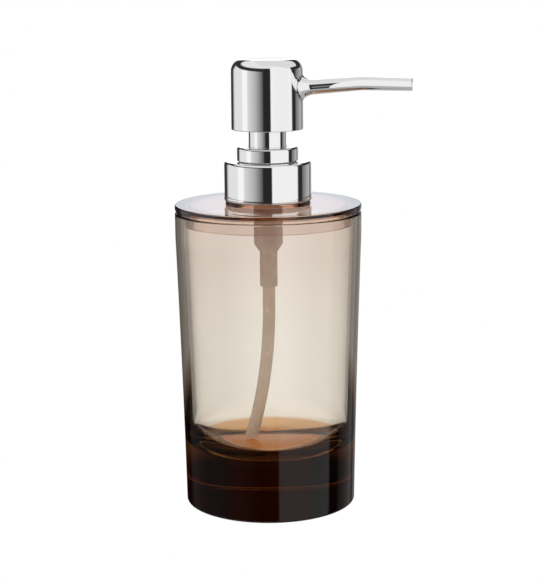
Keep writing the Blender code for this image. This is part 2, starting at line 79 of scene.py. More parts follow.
LID_TOP_Z = foot("collar_shell") - 1.6 * MM
LID_T = 1.9 * MM
NECK_TOP = top("lid")
NECK_R = radius("neck_gasket") - 0.3 * MM
NECK_BORE_R = NECK_R - 1.35 * MM
SKIRT_FOOT = foot("lid")
SKIRT_R = RIM_R - WALL - 0.35 * MM
SKIRT_WALL = 1.9 * MM
STEP_UNDER = RIM_Z + 0.12 * MM
STEP_T = 1.2 * MM

COLLAR_R = radius("collar_shell") - 0.1 * MM
COLLAR_Z = foot("collar_shell")
COLLAR_TOP = top("collar_shell")
BEAD_R = COLLAR_R - 0.4 * MM
STEP_R = radius("step_cover")
STEP_Z = foot("step_cover")
STEP_TOP = top("step_cover")
SLEEVE_R = radius("stem_sleeve")
HEAD_R = radius("head_shell")
HEAD_Z = foot("head_shell")
HEAD_TOP = top("head_shell")
HEAD_WALL = 1.4 * MM
HEAD_ROUND = 4.8 * MM

SPOUT_TIP_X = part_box("spout")[1].x
SPOUT_Z = HEAD_Z + 16.2 * MM
SPOUT_RISE = 1.9 * MM
SPOUT_DROP = 0.35 * MM
SPOUT_BEND_X = HEAD_R + 23.35 * MM
SPOUT_ROOT_R = 3.0 * MM
SPOUT_TIP_R = 2.45 * MM
SPOUT_BORE_R = 1.9 * MM
SPOUT_FLARE = 2.4 * MM
SPOUT_FLARE_REACH = 4.6 * MM
SPOUT_HUG_REACH = 5.0 * MM       # over this length the root's rings bend to lie on the head
SPOUT_TIP_ROUND = 0.25 * MM

CYL_FOOT = foot("pump_cylinder")
CYL_R = 5.75 * MM
CYL_BORE_R = CYL_R - 1.0 * MM
CUP_R = NECK_BORE_R - 0.45 * MM
CUP_FLOOR = LID_TOP_Z + 0.6 * MM
FLANGE_TOP = top("pump_cylinder")
SOCKET_R = 3.5 * MM

TUBE_R = 2.5 * MM
TUBE_BORE_R = 1.9 * MM
TUBE_TOP = top("dip_tube")
TUBE_FOOT = foot("dip_tube")
TUBE_END_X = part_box("dip_tube")[0].x + TUBE_R

SPRING_FOOT = foot("return_spring")
SPRING_TOP = top("return_spring")
SPRING_R = 5.4 * MM
WIRE_R = 0.4 * MM
SPRING_TURNS = 7.0

ROUND_SEGMENTS = 192
CAMERA_TURN = math.radians(12.0)


# ---- mesh helpers ------------------------------------------------------------------------
def finish_mesh(mesh, sharp=32.0):
    """Outward normals, smooth faces, and sharp edges where the surface really turns."""
    bm = bmesh.new()
    bm.from_mesh(mesh)
    bmesh.ops.recalc_face_normals(bm, faces=bm.faces)
    limit = math.radians(sharp)
    for face in bm.faces:
        face.smooth = True
    for edge in bm.edges:
        edge.smooth = len(edge.link_faces) == 2 and edge.calc_face_angle(0.0) < limit
    bm.to_mesh(mesh)
    bm.free()


def new_piece(name, verts, faces, mat, sharp=32.0):
    mesh = bpy.data.meshes.new(name)
    mesh.from_pydata([tuple(v) for v in verts], [], faces)
    finish_mesh(mesh, sharp)
    mesh.materials.append(mat)
    obj = bpy.data.objects.new(name, mesh)
    bpy.context.collection.objects.link(obj)
    return obj


def place(obj, body, slot, *replaced):
    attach(obj, body)
    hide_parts(*replaced)
    return obj


def rounded(corners, segments=10, support=0.04 * MM):
    """Closed (r, z) outline with each corner (r, z, fillet) rounded and held by support points."""
    points = []
    count = len(corners)
    for i, (r, z, fillet) in enumerate(corners):
        here = Vector((r, z))
        before = Vector(corners[i - 1][:2]) - here
        after = Vector(corners[(i + 1) % count][:2]) - here
        if fillet <= 0.0:
            points.append((r, z))
            continue
        u, v = before.normalized(), after.normalized()
        half = math.acos(max(-1.0, min(1.0, u.dot(v)))) / 2
        reach = fillet / math.tan(half)
        centre = here + (u + v).normalized() * (fillet / math.sin(half))
        start, end = here + u * reach, here + v * reach
        if before.length > reach + 2 * support:
            points.append(tuple(start + u * support))
        a0 = math.atan2(start.y - centre.y, start.x - centre.x)
        a1 = math.atan2(end.y - centre.y, end.x - centre.x)
        turn = (a1 - a0 + math.pi) % (2 * math.pi) - math.pi
        for k in range(segments + 1):
            a = a0 + turn * k / segments
            points.append((centre.x + fillet * math.cos(a), centre.y + fillet * math.sin(a)))
        if after.length > reach + 2 * support:
            points.append(tuple(end + v * support))
    return points


def lathe(name, outline, mat, segments=ROUND_SEGMENTS, sharp=32.0):
    """Solid of revolution about Z from a closed (r, z) outline; r = 0 makes a pole."""
    verts = []
    rings = []
    for r, z in outline:
        if r < 1e-7:
            rings.append([len(verts)])
            verts.append((0.0, 0.0, z))
            continue
        rings.append(list(range(len(verts), len(verts) + segments)))
        for k in range(segments):
            a = 2 * math.pi * k / segments
            verts.append((r * math.cos(a), r * math.sin(a), z))
    faces = []
    for low, high in zip(rings, rings[1:] + rings[:1]):
        if len(low) == 1 and len(high) == 1:
            continue
        for k in range(segments):
            n = (k + 1) % segments
            if len(low) == 1:
                faces.append((low[0], high[n], high[k]))
            elif len(high) == 1:
                faces.append((low[k], low[n], high[0]))
            else:
                faces.append((low[k], low[n], high[n], high[k]))
    return new_piece(name, verts, faces, mat, sharp)


def outer_radius(z):
    """Outer radius of base and wall: a flare that opens a little faster towards the rim."""
    t = min(max(z / FLARE_TOP, 0.0), 1.0)
    return FOOT_R + (RIM_R - FOOT_R) * (FLARE_LINEAR * t + (1.0 - FLARE_LINEAR) * t * t)


def arc(centre_r, centre_z, bend, start, end, steps):
    """Points of an arc in the (r, z) half plane, angles in degrees."""
    points = []
    for k in range(steps + 1):
        a = math.radians(start + (end - start) * k / steps)
        points.append((centre_r + bend * math.cos(a), centre_z + bend * math.sin(a)))
    return points


def smooth(t):
    t = min(max(t, 0.0), 1.0)
    return t * t * (3.0 - 2.0 * t)


# ---- node-tree helpers -------------------------------------------------------------------
class Tree:
    """Small wrapper that adds nodes and links them by socket name."""

    def __init__(self, tree):
        self.tree = tree

    def add(self, kind, links=None, **values):
        node = self.tree.nodes.new(kind)
        for key, value in values.items():
            setattr(node, key, value)
        for socket, source in (links or {}).items():
            self.feed(node, socket, source)
        return node

    def calc(self, operation, *sources):
        """Math node on sockets or numbers, in order."""
        node = self.tree.nodes.new("ShaderNodeMath")
        node.operation = operation
        for index, source in enumerate(sources):
            self.feed(node, index, source)
        return node.outputs["Value"]

    def spread(self, source, low, high, at_low, at_high):
        """Clamped linear map of a value."""
        node = self.add("ShaderNodeMapRange", {"Value": source, "From Min": low, "From Max": high,
                                               "To Min": at_low, "To Max": at_high})
        return node.outputs["Result"]

    def blend(self, share, low, high):
        """Number that goes from low to high as share goes from 0 to 1."""
        return self.add("ShaderNodeMix", {0: share, 2: low, 3: high}).outputs[0]

    def blend_colour(self, share, low, high):
        """The same for two colours."""
        return self.add("ShaderNodeMix", {0: share, 6: low, 7: high}, data_type="RGBA").outputs[2]

    def feed(self, node, socket, source):
        target = node.inputs[socket]
        if isinstance(source, bpy.types.NodeSocket):
            self.tree.links.new(source, target)
        else:
            target.default_value = source


def principled(name, colour, rough, **sockets):
    mat = bpy.data.materials.new(name)
    mat.use_nodes = True
    shader = mat.node_tree.nodes["Principled BSDF"]
    shader.inputs["Base Color"].default_value = (*colour, 1.0)
    shader.inputs["Roughness"].default_value = rough
    for key, value in sockets.items():
        shader.inputs[key.replace("_", " ")].default_value = value
    return mat, Tree(mat.node_tree), shader


def vary(tree, shader, socket, scale, low, high, detail=4.0):
    """Noise in object space that moves a number socket between two values."""
    coords = tree.add("ShaderNodeTexCoord")
    noise = tree.add("ShaderNodeTexNoise", {"Vector": coords.outputs["Object"], "Scale": scale,
                                            "Detail": detail, "Roughness": 0.55})
    tree.feed(shader, socket, tree.spread(noise.outputs["Fac"], 0.3, 0.7, low, high))
    return noise


def bump(tree, shader, height, strength, distance):
    node = tree.add("ShaderNodeBump", {"Height": height, "Strength": strength, "Distance": distance})
    tree.feed(shader, "Normal", node.outputs["Normal"])


def mottle(tree, shader, scale, dark, light):
    """Slow colour drift between two close tones."""
    coords = tree.add("ShaderNodeTexCoord")
    noise = tree.add("ShaderNodeTexNoise", {"Vector": coords.outputs["Object"], "Scale": scale,
                                            "Detail": 5.0})
    ramp = tree.add("ShaderNodeValToRGB", {"Fac": noise.outputs["Fac"]})
    ramp.color_ramp.elements[0].position = 0.35
    ramp.color_ramp.elements[0].color = (*dark, 1.0)
    ramp.color_ramp.elements[1].position = 0.65
    ramp.color_ramp.elements[1].color = (*light, 1.0)
    tree.feed(shader, "Base Color", ramp.outputs["Color"])


# ---- materials ---------------------------------------------------------------------------
TINT = (0.634, 0.418, 0.062, 1.0)
CLEAR_DENSITY = 52.0
LID_TINT = (0.756, 0.467, 0.20, 1.0)
LID_DENSITY = 120.0
# painted shade: the foot is coloured darker by height to stand in for the dim light seen through it
FOOT_PAINTED_SHADE = (0.74, 0.38, 0.17)
BODY_COLOUR = (1.0, 1.0, 1.0)
RIM_COLOUR = (0.93, 0.86, 0.85)
# heights and the base colour there: painted shade on the foot, white body, faint warm tone at the rim
BODY_TONE_AND_SHADE_LEVELS = (
    (0.0, FOOT_PAINTED_SHADE), (BOWL_FLOOR + 0.3 * MM, FOOT_PAINTED_SHADE), (BOWL_FLOOR + 1.8 * MM, BODY_COLOUR),
    (RIM_Z * 0.62, BODY_COLOUR), (RIM_Z, RIM_COLOUR))
LID_COLOUR = (0.96, 0.92, 0.92)
# painted shade: the bead and neck under the collar are coloured darker and warmer by height
NECK_PAINTED_SHADE = (0.80, 0.46, 0.32)
# heights and the base colour there: light lid disc, painted shade on the neck
LID_TONE_AND_SHADE_LEVELS = ((0.0, LID_COLOUR), (LID_TOP_Z, LID_COLOUR), (LID_TOP_Z + 0.4 * MM, NECK_PAINTED_SHADE),
              (NECK_TOP, NECK_PAINTED_SHADE))


def acrylic(name, density, tint, levels):
    """Cast acrylic: clear surface, brown tint that deepens with thickness, and a base colour set by
    height whose darker foot and neck tones are painted shade.
    """
    mat, tree, shader = principled(name, (1.0, 1.0, 1.0), 0.0, IOR=1.49, Transmission_Weight=1.0)
    vary(tree, shader, "Roughness", 60.0, 0.0, 0.012)
    coords = tree.add("ShaderNodeTexCoord")
    height = tree.add("ShaderNodeSeparateXYZ", {"Vector": coords.outputs["Object"]}).outputs["Z"]
    # base colour by height from the levels; the darker foot and neck stops are painted shade
    ramp = tree.add("ShaderNodeValToRGB", {"Fac": tree.spread(height, 0.0, NECK_TOP, 0.0, 1.0)})
    stops = ramp.color_ramp.elements
    stops[0].color = (*levels[0][1], 1.0)
    stops[1].color = (*levels[-1][1], 1.0)
    for z, colour in levels[1:-1]:
        stops.new(z / NECK_TOP).color = (*colour, 1.0)
    tree.feed(shader, "Base Color", ramp.outputs["Color"])
    absorb = tree.add("ShaderNodeVolumeAbsorption", {"Color": tint, "Density": density})
    tree.feed(tree.tree.nodes["Material Output"], "Volume", absorb.outputs["Volume"])
    return mat


def chrome():
    mat, tree, shader = principled("chrome_plating", (0.955, 0.957, 0.96), 0.03, Metallic=1.0)
    noise = vary(tree, shader, "Roughness", 240.0, 0.0, 0.02)
    bump(tree, shader, noise.outputs["Fac"], 0.02, 0.00002)
    return mat


def natural_plastic():
    mat, tree, shader = principled("natural_plastic", (0.74, 0.62, 0.55), 0.32, IOR=1.49,
                                   Transmission_Weight=0.1)
    mottle(tree, shader, 180.0, (0.66, 0.545, 0.475), (0.76, 0.65, 0.58))
    vary(tree, shader, "Roughness", 300.0, 0.26, 0.40)
    return mat


def tube_plastic():
    mat, tree, shader = principled("tube_plastic", (0.80, 0.70, 0.60), 0.25, IOR=1.50,
                                   Transmission_Weight=0.08)
    mottle(tree, shader, 90.0, (0.74, 0.63, 0.53), (0.84, 0.74, 0.64))
    vary(tree, shader, "Roughness", 200.0, 0.16, 0.30)
    return mat


def sealing_rubber():
    mat, tree, shader = principled("sealing_rubber", (0.75, 0.74, 0.70), 0.6)
    mottle(tree, shader, 400.0, (0.68, 0.67, 0.63), (0.80, 0.79, 0.75))
    vary(tree, shader, "Roughness", 500.0, 0.5, 0.7)
    return mat


def steel():
    mat, tree, shader = principled("steel", (0.62, 0.62, 0.63), 0.2, Metallic=1.0)
    vary(tree, shader, "Roughness", 900.0, 0.12, 0.28)
    mottle(tree, shader, 700.0, (0.56, 0.56, 0.57), (0.66, 0.66, 0.67))
    return mat


def liner_plastic():
    mat, tree, shader = principled("liner_plastic", (0.05, 0.045, 0.04), 0.4)
    mottle(tree, shader, 300.0, (0.035, 0.03, 0.027), (0.06, 0.053, 0.047))
    vary(tree, shader, "Roughness", 400.0, 0.34, 0.5)
    return mat


# ---- reservoir ---------------------------------------------------------------------------
def tumbler_outline():
    """Half section of the tumbler, from the underside's centre round to the hollow's centre."""
    levels = 48
    centre_r = outer_radius(FOOT_ROUND) - FOOT_ROUND
    outline = [(0.0, 0.0), (centre_r * 0.5, 0.0), (centre_r - 0.05 * MM, 0.0)]
    outline += arc(centre_r, FOOT_ROUND, FOOT_ROUND, -90, 0, 10)
    upper = RIM_Z - RIM_ROUND_OUT
    for k in range(1, levels + 1):
        z = FOOT_ROUND + (upper - FOOT_ROUND) * k / levels
        outline.append((outer_radius(z), z))
    outline += arc(RIM_R - RIM_ROUND_OUT, upper, RIM_ROUND_OUT, 0, 90, 6)[1:]
    outline += arc(RIM_R - WALL + RIM_ROUND_IN, RIM_Z - RIM_ROUND_IN, RIM_ROUND_IN, 90, 180, 6)
    inner_top = RIM_Z - RIM_ROUND_IN - 0.05 * MM
    for k in range(levels):
        z = inner_top - (inner_top - BASE_TOP) * k / levels
        outline.append((outer_radius(z) - WALL, z))
    corner = BASE_TOP - BOWL_FLOOR
    flat_r = outer_radius(BASE_TOP) - WALL - corner
    outline += arc(flat_r, BASE_TOP, corner, 0, -90, 28)
    outline += [(flat_r * share, BOWL_FLOOR) for share in (0.97, 0.6, 0.3, 0.0)]
    return outline


def geometry_group(name, inputs):
    """Geometry Nodes group with named inputs, returned with its helper, input and output nodes."""
    group = bpy.data.node_groups.new(name, "GeometryNodeTree")
    group.interface.new_socket("Geometry", in_out="INPUT", socket_type="NodeSocketGeometry")
    for label, kind, value in inputs:
        socket = group.interface.new_socket(label, in_out="INPUT", socket_type=kind)
        if value is not None:
            socket.default_value = value
    group.interface.new_socket("Geometry", in_out="OUTPUT", socket_type="NodeSocketGeometry")
    tree = Tree(group)
    return group, tree, tree.add("NodeGroupInput"), tree.add("NodeGroupOutput")


def close_group(tree, group_in, group_out, geometry):
    """Realize Instances, Set Shade Smooth and Set Material, as every group here ends."""
    real = tree.add("GeometryNodeRealizeInstances", {"Geometry": geometry})
    shade = tree.add("GeometryNodeSetShadeSmooth", {"Geometry": real.outputs["Geometry"]})
    paint = tree.add("GeometryNodeSetMaterial", {"Geometry": shade.outputs["Geometry"],
                                                 "Material": group_in.outputs["Material"]})
    tree.feed(group_out, "Geometry", paint.outputs["Geometry"])


def run_group(name, verts, edges, group, mat, sharp=32.0):
    """Runs a group on a polyline and returns the plain mesh object it makes."""
    line = bpy.data.meshes.new(name)
    line.from_pydata([tuple(v) for v in verts], edges, [])
    source = bpy.data.objects.new(name, line)
    bpy.context.collection.objects.link(source)
    mod = source.modifiers.new("build", "NODES")
    mod.node_group = group
    for item in group.interface.items_tree:
        if item.in_out == "INPUT" and item.name == "Material":
            mod[item.identifier] = mat
    graph = bpy.context.evaluated_depsgraph_get()
    mesh = bpy.data.meshes.new_from_object(source.evaluated_get(graph))
    bpy.data.objects.remove(source)
    bpy.data.meshes.remove(line)
    mesh.name = name
    finish_mesh(mesh, sharp)
    if not mesh.materials:
        mesh.materials.append(mat)
    obj = bpy.data.objects.new(name, mesh)
    bpy.context.collection.objects.link(obj)
    return obj


def spin_group():
    """Sweeps a closed cross-section round a circle."""
    group, tree, gin, gout = geometry_group("spin_section", [
        ("Radius", "NodeSocketFloat", RIM_R), ("Segments", "NodeSocketInt", ROUND_SEGMENTS),
        ("Material", "NodeSocketMaterial", None)])
    circle = tree.add("GeometryNodeCurvePrimitiveCircle", {"Resolution": gin.outputs["Segments"],
                                                           "Radius": gin.outputs["Radius"]})
    section = tree.add("GeometryNodeMeshToCurve", {"Mesh": gin.outputs["Geometry"]})
    swept = tree.add("GeometryNodeCurveToMesh", {"Curve": circle.outputs["Curve"],
                                                 "Profile Curve": section.outputs["Curve"]})
    closed = tree.add("GeometryNodeMergeByDistance", {"Geometry": swept.outputs["Mesh"],
                                                      "Distance": 0.000002})
    close_group(tree, gin, gout, closed.outputs["Geometry"])
    return group


def build_tumbler(mat):
    verts = [(r - RIM_R, -z, 0.0) for r, z in tumbler_outline()]
    edges = [(k, k + 1) for k in range(len(verts) - 1)]
    obj = run_group("tumbler_visual", verts, edges, spin_group(), mat)
    return place(obj, "reservoir", "tinted_acrylic", "tumbler")


def thread_points(turns=1.5, pitch=3.2 * MM, per_turn=48):
    start = COLLAR_Z + 2.6 * MM
    count = int(turns * per_turn)
    points = []
    for k in range(count + 1):
        a = 2 * math.pi * turns * k / count
        r = NECK_R + 0.36 * MM
        points.append((r * math.cos(a), r * math.sin(a), start + pitch * turns * k / count))
    return points


def ridge_group():
    """Round ridge along a polyline, thinned to nothing at both ends."""
    group, tree, gin, gout = geometry_group("thread_ridge", [
        ("Ridge Radius", "NodeSocketFloat", 0.34 * MM), ("Material", "NodeSocketMaterial", None)])
    path = tree.add("GeometryNodeMeshToCurve", {"Mesh": gin.outputs["Geometry"]})
    along = tree.add("GeometryNodeSplineParameter").outputs["Factor"]
    rise = tree.spread(along, 0.0, 0.12, 0.1, 1.0)
    fall = tree.spread(along, 0.88, 1.0, 1.0, 0.1)
    thinned = tree.add("GeometryNodeSetCurveRadius", {"Curve": path.outputs["Curve"],
                                                      "Radius": tree.calc("MULTIPLY", rise, fall)})
    section = tree.add("GeometryNodeCurvePrimitiveCircle", {"Resolution": 12,
                                                            "Radius": gin.outputs["Ridge Radius"]})
    size = tree.add("GeometryNodeInputRadius")
    swept = tree.add("GeometryNodeCurveToMesh", {"Curve": thinned.outputs["Curve"],
                                                 "Profile Curve": section.outputs["Curve"],
                                                 "Scale": size.outputs["Radius"], "Fill Caps": True})
    close_group(tree, gin, gout, swept.outputs["Mesh"])
    return group


def build_lid(mat):
    """Disc lid: plug skirt, step on the rim, bead and threaded neck."""
    skirt_in = SKIRT_R - SKIRT_WALL
    disc_under = LID_TOP_Z - LID_T
    step_r = RIM_R - 0.4 * MM
    bead_top = COLLAR_Z - 0.2 * MM
    corners = [
        (NECK_BORE_R, NECK_TOP, 0.3 * MM), (NECK_BORE_R, disc_under, 0.4 * MM),
        (skirt_in, disc_under, 0.5 * MM), (skirt_in, SKIRT_FOOT, 0.3 * MM),
        (SKIRT_R, SKIRT_FOOT, 0.4 * MM), (SKIRT_R, STEP_UNDER, 0.2 * MM),
        (step_r, STEP_UNDER, 0.15 * MM), (step_r, STEP_UNDER + STEP_T, 0.1 * MM),
        (RIM_R, STEP_UNDER + STEP_T, 0.15 * MM), (RIM_R, LID_TOP_Z, 0.5 * MM),
        (BEAD_R, LID_TOP_Z, 0.2 * MM), (BEAD_R, bead_top, 0.4 * MM),
        (NECK_R, bead_top, 0.2 * MM), (NECK_R, NECK_TOP, 0.3 * MM)]
    obj = lathe("lid_visual", rounded(corners, 6), mat)
    points = thread_points()
    edges = [(k, k + 1) for k in range(len(points) - 1)]
    ridge = run_group("neck_thread", points, edges, ridge_group(), mat)
    with bpy.context.temp_override(active_object=obj, object=obj, selected_objects=[obj, ridge],
                                   selected_editable_objects=[obj, ridge]):
        bpy.ops.object.join()
    return place(obj, "reservoir", "tinted_acrylic", "lid")


# ---- pump ----------------------------------------------------------------------------------
def build_cylinder(mat):
    """Housing that hangs in the neck: flange, cup, cylinder, taper and tube socket."""
    pocket = 2.5 * MM
    seat_z = CYL_FOOT + 11.4 * MM
    shoulder = CYL_FOOT + 13.8 * MM
    taper_top = shoulder + 3.4 * MM
    cup_in = CUP_R - 1.5 * MM
    inner_floor = CUP_FLOOR + 1.4 * MM
    flange_r = NECK_R + 0.5 * MM
    flange_z = FLANGE_TOP - 1.2 * MM
    socket_bore = TUBE_R + 0.08 * MM
    corners = [
        (SOCKET_R, CYL_FOOT, 0.4 * MM), (SOCKET_R, shoulder, 0.8 * MM), (CYL_R, taper_top, 0.8 * MM),
        (CYL_R, CUP_FLOOR - 1.6 * MM, 0.6 * MM), (CUP_R, CUP_FLOOR, 0.5 * MM), (CUP_R, flange_z, 0.0),
        (flange_r, flange_z, 0.15 * MM), (flange_r, FLANGE_TOP, 0.2 * MM), (cup_in, FLANGE_TOP, 0.2 * MM),
        (cup_in, inner_floor, 0.3 * MM), (CYL_BORE_R, inner_floor, 0.2 * MM),
        (CYL_BORE_R, taper_top, 0.3 * MM),
        (pocket, taper_top - 1.6 * MM, 0.3 * MM), (pocket, seat_z + 1.6 * MM, 0.2 * MM),
        (1.3 * MM, seat_z, 0.0), (1.3 * MM, seat_z - 1.3 * MM, 0.0),
        (socket_bore, seat_z - 1.3 * MM, 0.0), (socket_bore, CYL_FOOT, 0.1 * MM)]
    obj = lathe("pump_cylinder_visual", rounded(corners, 6), mat, 96)
    return place(obj, "pump_unit", "natural_plastic", "pump_cylinder")


def tube_points():
    """Centre line of the dip tube: straight from the socket, then bent towards the wall."""
    straight_end = CYL_FOOT - 8.0 * MM
    drop = straight_end - TUBE_FOOT
    end = Vector((TUBE_END_X, 0.0, TUBE_FOOT + 0.75 * MM))
    controls = (Vector((0.0, 0.0, straight_end)), Vector((0.0, 0.0, straight_end - 0.322 * drop)),
                Vector((0.3 * TUBE_END_X, 0.0, straight_end - 0.676 * drop)), end)
    points = [Vector((0.0, 0.0, TUBE_TOP)), Vector((0.0, 0.0, TUBE_TOP - 0.03 * MM))]
    points += [Vector((0.0, 0.0, TUBE_TOP + (straight_end - TUBE_TOP) * k / 6)) for k in range(1, 6)]
    for k in range(49):
        t = k / 48
        u = 1.0 - t
        weights = (u ** 3, 3 * u * u * t, 3 * u * t * t, t ** 3)
        points.append(sum((c * w for c, w in zip(controls, weights)), Vector()))
    last = points[-1] - points[-2]
    points.append(points[-1] + last.normalized() * 0.03 * MM)
    return points


def hose_group():
    """Tube with a wall: outer and inner skins that meet at the cut ends."""
    group, tree, gin, gout = geometry_group("hose", [
        ("Outer Radius", "NodeSocketFloat", TUBE_R), ("Bore Radius", "NodeSocketFloat", TUBE_BORE_R),
        ("Sides", "NodeSocketInt", 40), ("Material", "NodeSocketMaterial", None)])
    path = tree.add("GeometryNodeMeshToCurve", {"Mesh": gin.outputs["Geometry"]})
    share = tree.calc("DIVIDE", gin.outputs["Bore Radius"], gin.outputs["Outer Radius"])
    whole = tree.add("GeometryNodeSetCurveRadius", {"Curve": path.outputs["Curve"], "Radius": 1.0})
    ends = tree.add("GeometryNodeCurveEndpointSelection", {"Start Size": 1, "End Size": 1})
    pinched = tree.add("GeometryNodeSetCurveRadius", {"Curve": whole.outputs["Curve"],
                                                      "Selection": ends.outputs["Selection"],
                                                      "Radius": share})
    scale = tree.add("GeometryNodeInputRadius")
    skins = []
    for curve, size in ((pinched, "Outer Radius"), (whole, "Bore Radius")):
        section = tree.add("GeometryNodeCurvePrimitiveCircle", {"Resolution": gin.outputs["Sides"],
                                                                "Radius": gin.outputs[size]})
        swept = tree.add("GeometryNodeCurveToMesh", {"Curve": curve.outputs["Curve"],
                                                     "Profile Curve": section.outputs["Curve"],
                                                     "Scale": scale.outputs["Radius"]})
        skins.append(swept)
    joined = tree.add("GeometryNodeJoinGeometry")
    for skin in skins:
        tree.tree.links.new(skin.outputs["Mesh"], joined.inputs["Geometry"])
    merged = tree.add("GeometryNodeMergeByDistance", {"Geometry": joined.outputs["Geometry"],
                                                      "Distance": 0.000002})
    close_group(tree, gin, gout, merged.outputs["Geometry"])
    return group


def build_tube(mat):
    points = tube_points()
    edges = [(k, k + 1) for k in range(len(points) - 1)]
    obj = run_group("dip_tube_visual", points, edges, hose_group(), mat)
    return place(obj, "pump_unit", "tube_plastic", "dip_tube")


def coil_group():
    """Coil spring: spiral with a closed turn at each end."""
    end_turns = 1.15
    closed = end_turns / SPRING_TURNS
    end_rise = end_turns * 2.2 * WIRE_R
    rise = (SPRING_TOP - SPRING_FOOT) - 2 * WIRE_R - 2 * end_rise
    group, tree, gin, gout = geometry_group("coil", [
        ("Coil Radius", "NodeSocketFloat", SPRING_R), ("Wire Radius", "NodeSocketFloat", WIRE_R),
        ("Turns", "NodeSocketFloat", SPRING_TURNS), ("Material", "NodeSocketMaterial", None)])
    spiral = tree.add("GeometryNodeCurveSpiral", {"Resolution": 48, "Rotations": gin.outputs["Turns"],
                                                  "Start Radius": gin.outputs["Coil Radius"],
                                                  "End Radius": gin.outputs["Coil Radius"],
                                                  "Height": 0.0})
    along = tree.add("GeometryNodeSplineParameter").outputs["Factor"]
    height = tree.spread(along, 0.0, closed, 0.0, end_rise)
    height = tree.calc("ADD", height, tree.spread(along, closed, 1.0 - closed, 0.0, rise))
    height = tree.calc("ADD", height, tree.spread(along, 1.0 - closed, 1.0, 0.0, end_rise))
    offset = tree.add("ShaderNodeCombineXYZ", {"Z": height})
    moved = tree.add("GeometryNodeSetPosition", {"Geometry": spiral.outputs["Curve"],
                                                 "Offset": offset.outputs["Vector"]})
    lifted = tree.add("GeometryNodeTransform", {"Geometry": moved.outputs["Geometry"],
                                                "Translation": (0.0, 0.0, SPRING_FOOT + WIRE_R)})
    section = tree.add("GeometryNodeCurvePrimitiveCircle", {"Resolution": 12,
                                                            "Radius": gin.outputs["Wire Radius"]})
    swept = tree.add("GeometryNodeCurveToMesh", {"Curve": lifted.outputs["Geometry"],
                                                 "Profile Curve": section.outputs["Curve"],
                                                 "Fill Caps": True})
    close_group(tree, gin, gout, swept.outputs["Mesh"])
    return group


def build_spring(mat):
    obj = run_group("return_spring_visual", [(0.0, 0.0, SPRING_FOOT)], [], coil_group(), mat)
    place(obj, "pump_unit", "steel", "return_spring")
    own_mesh(obj)
    return obj


# ---- plated pieces ---------------------------------------------------------------------------
def build_collar(mat):
    hole = STEP_R - 0.7 * MM
    inner = COLLAR_R - 0.8 * MM
    hem = COLLAR_R + 0.1 * MM
    lug = COLLAR_TOP - 0.8 * MM
    corners = [
        (inner, COLLAR_Z, 0.15 * MM), (hem, COLLAR_Z, 0.3 * MM), (hem, COLLAR_Z + 0.9 * MM, 0.2 * MM),
        (COLLAR_R, COLLAR_Z + 1.3 * MM, 0.2 * MM), (COLLAR_R, COLLAR_TOP, 1.2 * MM),
        (hole, COLLAR_TOP, 0.15 * MM), (hole, lug, 0.1 * MM), (inner, lug, 0.2 * MM)]
    obj = lathe("collar_shell_visual", rounded(corners, 12), mat)
    return place(obj, "closure", "chrome_plating", "collar_shell")


def build_step(mat):
    inner = STEP_R - 0.7 * MM
    bore = SLEEVE_R + 0.3 * MM
    under = STEP_TOP - 0.7 * MM
    corners = [
        (inner, STEP_Z, 0.1 * MM), (STEP_R, STEP_Z, 0.15 * MM), (STEP_R, STEP_TOP, 1.0 * MM),
        (bore, STEP_TOP, 0.2 * MM), (bore, under, 0.1 * MM), (inner, under, 0.15 * MM)]
    obj = lathe("step_cover_visual", rounded(corners, 12), mat)
    return place(obj, "pump_unit", "chrome_plating", "step_cover")


def build_sleeve(mat):
    low, high = foot("stem_sleeve"), top("stem_sleeve")
    inner = SLEEVE_R - 0.8 * MM
    corners = [(inner, low, 0.15 * MM), (SLEEVE_R, low, 0.2 * MM), (SLEEVE_R, high, 0.2 * MM),
               (inner, high, 0.15 * MM)]
    obj = lathe("stem_sleeve_visual", rounded(corners, 8), mat)
    return place(obj, "plunger", "chrome_plating", "stem_sleeve")


def build_head(mat):
    """Press head: a closed shell with a slight draft and a rounded top edge."""
    inner = HEAD_R - HEAD_WALL
    top_in = HEAD_TOP - HEAD_WALL
    upper = HEAD_R - 0.1 * MM
    corners = [
        (0.0, HEAD_TOP, 0.0), (0.0, top_in, 0.0), (inner, top_in, HEAD_ROUND - HEAD_WALL),
        (inner, HEAD_Z, 0.25 * MM), (HEAD_R, HEAD_Z, 0.3 * MM), (upper, HEAD_TOP, HEAD_ROUND)]
    obj = lathe("head_shell_visual", rounded(corners, 24), mat)
    return place(obj, "head", "chrome_plating", "head_shell")


def spout_centre(x):
    """Height of the spout's centre line: a straight ramp, a soft bend, then level."""
    slope = SPOUT_RISE / (SPOUT_BEND_X - HEAD_R)
    soft = 3.0 * MM
    before = x - SPOUT_BEND_X
    if before < -soft:
        rise = SPOUT_RISE + slope * before
    elif before > soft:
        rise = SPOUT_RISE
    else:
        t = (before + soft) / (2 * soft)
        rise = SPOUT_RISE - slope * soft * (1.0 - t) ** 2
    fall = SPOUT_DROP * max(before, 0.0) / (SPOUT_TIP_X - SPOUT_BEND_X)
    return SPOUT_Z + max(rise, 0.0) - fall


def spout_radius(x):
    along = min(max((x - HEAD_R) / (SPOUT_TIP_X - HEAD_R), 0.0), 1.0)
    plain = SPOUT_ROOT_R + (SPOUT_TIP_R - SPOUT_ROOT_R) * along
    near = max(1.0 - (x - HEAD_R) / SPOUT_FLARE_REACH, 0.0)
    return plain + SPOUT_FLARE * (1.0 - math.sqrt(max(1.0 - near ** 2, 0.0)))


def spout_hug(x):
    return 1.0 - smooth((x - HEAD_R) / SPOUT_HUG_REACH)


